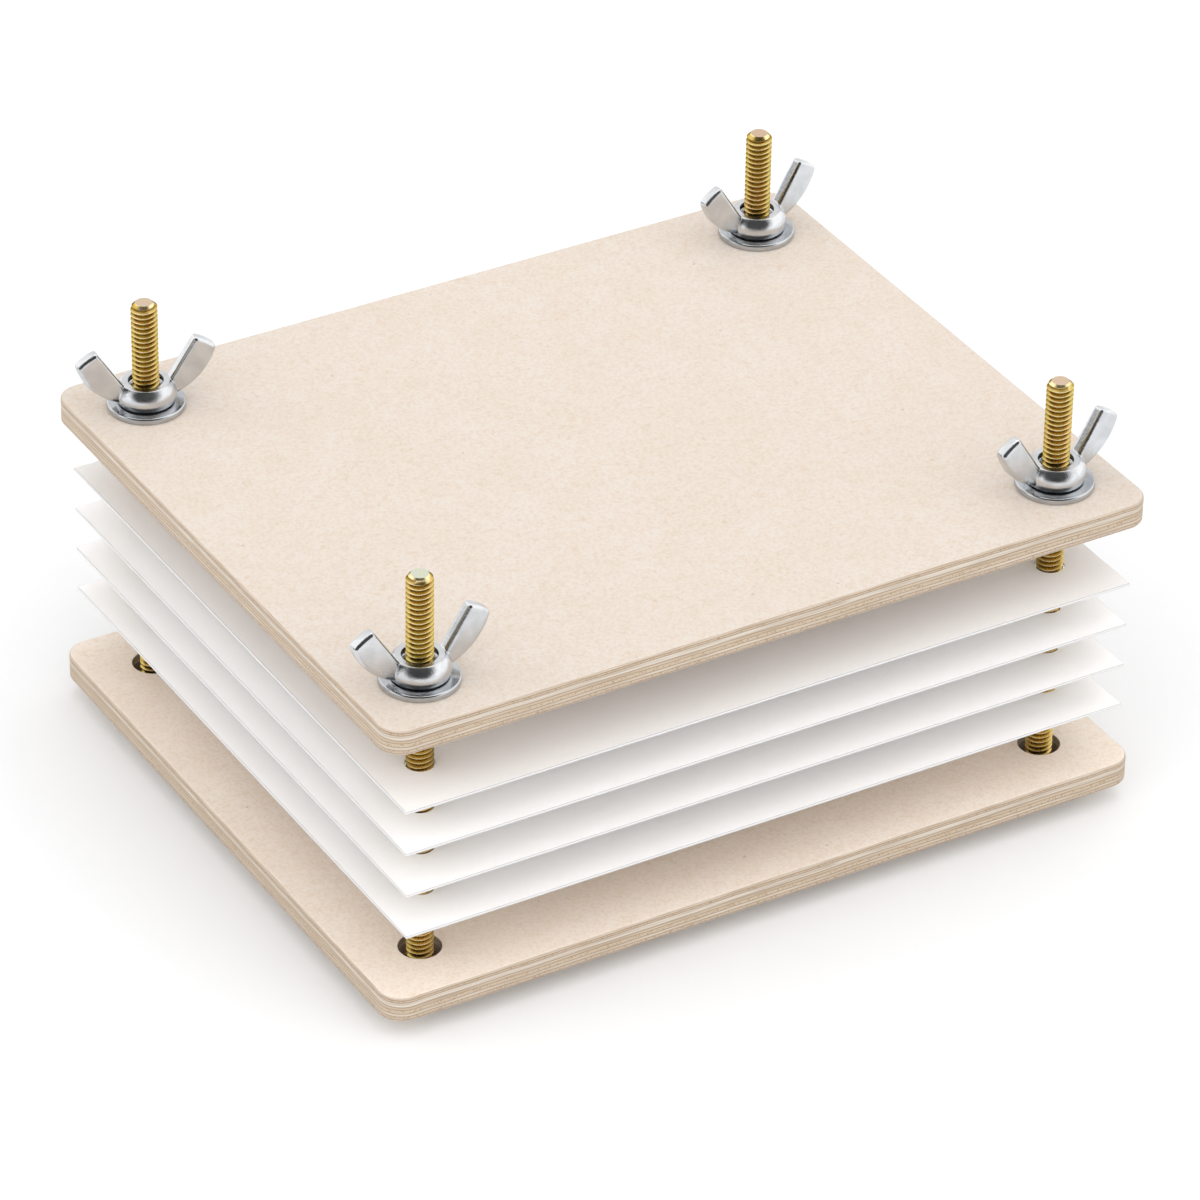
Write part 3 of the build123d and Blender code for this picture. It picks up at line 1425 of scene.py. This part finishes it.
@dataclass
class Studio:
    """A white floor, soft light all round, and the camera at the photograph's viewing angle."""

    azimuth: float = -30.794
    elevation: float = 33.121
    distance: float = 1.56837
    target: Triple = (0, 0, 0.045)
    shift_right: float = 0.001325
    shift_up: float = -0.003371
    roll: float = 1.0
    focal_pixels: float = 6665.3
    image_pixels: float = 1200.0
    sensor: float = 36.0
    floor_size: float = 8.0
    floor_roughness: float = 0.8
    floor_gloss: float = 0.1
    floor_white: Colour = (0.834, 0.838, 0.844)
    fill: float = 0.668
    fill_overhead: float = 1.015
    lobes: tuple[Lobe, ...] = (Lobe(15.0, 42.0, 0.8), Lobe(-75.0, 12.0, 0.98), Lobe(75.0, 35.0, 0.5))
    overhead_edge: Point = (0.6, 0.95)
    lobe_edge: Point = (0.5, 0.98)
    side_edge: Point = (0.3, 0.75)
    ceiling_edge: Point = (0.6, 0.9)
    background: float = 1.0
    gleam_back: float = 1.0
    gleam_sides: float = 1.4
    gleam_overhead: float = 1.35
    flags: tuple[Flag, ...] = (Flag(0.0, 40.0, 0.03, 0.47, 0.8), Flag(-92.0, 8.0, 0.08, 0.95, 0.99))
    boxes: tuple[SoftBox, ...] = (SoftBox("overhead_box", (0.35, 0.45, 1.7), 1.1, 2.82),)

    def way(self, turned: float, height: float) -> Vector:
        """Finds a direction from the press.

        Args:
            turned: How far it is turned from the camera's side, to the right, in degrees.
            height: How far it rises over the floor, in degrees.

        Returns:
            The direction, of length one.
        """
        a, e = math.radians(self.azimuth + turned), math.radians(height)
        return Vector((math.sin(a) * math.cos(e), -math.cos(a) * math.cos(e), math.sin(e)))

    def camera(self) -> None:
        """Places the camera."""
        r = math.radians(self.roll)
        back = self.way(0, self.elevation)
        right = self.way(90, 0)
        up = back.cross(right)
        place = Vector(self.target) + right * self.shift_right + up * self.shift_up + back * self.distance
        rolled_right = right * math.cos(r) + up * math.sin(r)
        rolled_up = up * math.cos(r) - right * math.sin(r)
        data = bpy.data.cameras.new("camera")
        data.sensor_width = self.sensor
        data.lens = self.focal_pixels * self.sensor / self.image_pixels
        camera = bpy.data.objects.new("camera", data)
        bpy.context.scene.collection.objects.link(camera)
        axes = Matrix((rolled_right, rolled_up, back)).transposed().to_4x4()
        camera.matrix_world = Matrix.Translation(place) @ axes
        bpy.context.scene.camera = camera

    def floor(self) -> None:
        """Lays the white floor."""
        bpy.ops.object.select_all(action="DESELECT")
        bpy.ops.mesh.primitive_plane_add(size=self.floor_size)
        floor = settle(bpy.context.object, "floor")
        material, _, shader = new_material("floor_white")
        shader.inputs["Base Color"].default_value = (*self.floor_white, 1)
        shader.inputs["Roughness"].default_value = self.floor_roughness
        shader.inputs["Specular IOR Level"].default_value = self.floor_gloss
        floor.data.materials.append(material)

    def lamps(self) -> None:
        """Hangs the soft boxes round the press."""
        for box in self.boxes:
            data = bpy.data.lights.new(box.name, "AREA")
            data.size = box.width
            data.energy = box.watts
            lamp = bpy.data.objects.new(box.name, data)
            lamp.location = box.place
            lamp.rotation_euler = (Vector(self.target) - lamp.location).to_track_quat("-Z", "Y").to_euler()
            lamp.visible_camera = False
            bpy.context.scene.collection.objects.link(lamp)

    def sky_light(self) -> None:
        """Lights the room: soft fill, most from the front, a white background, and its own sky for gloss.

        In gloss the sides and the ceiling are bright, with dark flags on the camera's side and on the left.
        """
        world = bpy.data.worlds.new("studio")
        world.use_nodes = True
        bpy.context.scene.world = world
        nodes = Nodes(world.node_tree)
        background = world.node_tree.nodes["Background"]
        way = nodes.add("TexCoord").outputs["Generated"]
        height = nodes.add("SeparateXYZ", {0: way}).outputs["Z"]

        def towards(direction: Vector) -> bpy.types.NodeSocket:
            """Tells how nearly a direction of the sky is a given one."""
            return nodes.add("VectorMath", {0: way, 1: direction}, operation="DOT_PRODUCT").outputs["Value"]

        fill = nodes.spread(height, *self.overhead_edge, self.fill, self.fill_overhead)
        for lobe in self.lobes:
            nearness = towards(self.way(lobe.turned, lobe.height))
            fill = nodes.math("ADD", fill, nodes.spread(nearness, *self.lobe_edge, 0.0, lobe.strength))
        side = nodes.math("ABSOLUTE", towards(self.way(90, 0)))
        gleam = nodes.spread(side, *self.side_edge, self.gleam_back, self.gleam_sides)
        ceiling = nodes.spread(height, *self.ceiling_edge, 0.0, self.gleam_overhead)
        gleam = nodes.math("MAXIMUM", gleam, ceiling)
        for flag in self.flags:
            nearness = towards(self.way(flag.turned, flag.height))
            kept = nodes.spread(nearness, flag.outside, flag.inside, 1.0, flag.rest)
            gleam = nodes.math("MULTIPLY", gleam, kept)
        path = nodes.add("LightPath").outputs
        strength = fill
        for seen, value in ((path["Is Glossy Ray"], gleam), (path["Is Camera Ray"], self.background)):
            strength = nodes.blend(seen, strength, value)
        nodes.feed(background.inputs["Strength"], strength)
        background.inputs["Color"].default_value = (1, 1, 1, 1)

    def make(self) -> None:
        """Sets up the whole studio."""
        bpy.context.scene.view_settings.view_transform = "Standard"
        self.camera()
        self.sky_light()
        self.floor()
        self.lamps()


def main() -> None:
    """Builds the press piece by piece, then the studio."""
    logging.basicConfig(level=logging.INFO, format="%(message)s")
    # The bottom board takes a paler copy of the plywood: painted light on the strip of its face that the
    # cards shade.
    lightened_birch = PlywoodFinish((0.836, 0.748, 0.664), (0.815, 0.709, 0.609), (0.67, 0.48, 0.306))
    PlywoodBoard("bottom_board", lightened_birch).make()
    PlywoodBoard("top_board", PlywoodFinish()).make()
    CardStack(CardFinish().material("white_card")).make()
    HexBolt(YellowPassivateFinish().material("yellow_passivate")).make()
    rolled_zinc = ZincFinish((0.56, 0.58, 0.60), (0.46, 0.48, 0.50), 0.12, 0.24)
    FlatWasher(rolled_zinc.material("zinc_rolled")).make()
    cast_zinc = ZincFinish(grain_scale=3.8, bump_depth=0.00004, bump_strength=1.0)
    WingNut(cast_zinc.material("zinc_cast")).make()
    Studio().make()


if __name__ == "__main__":
    main()
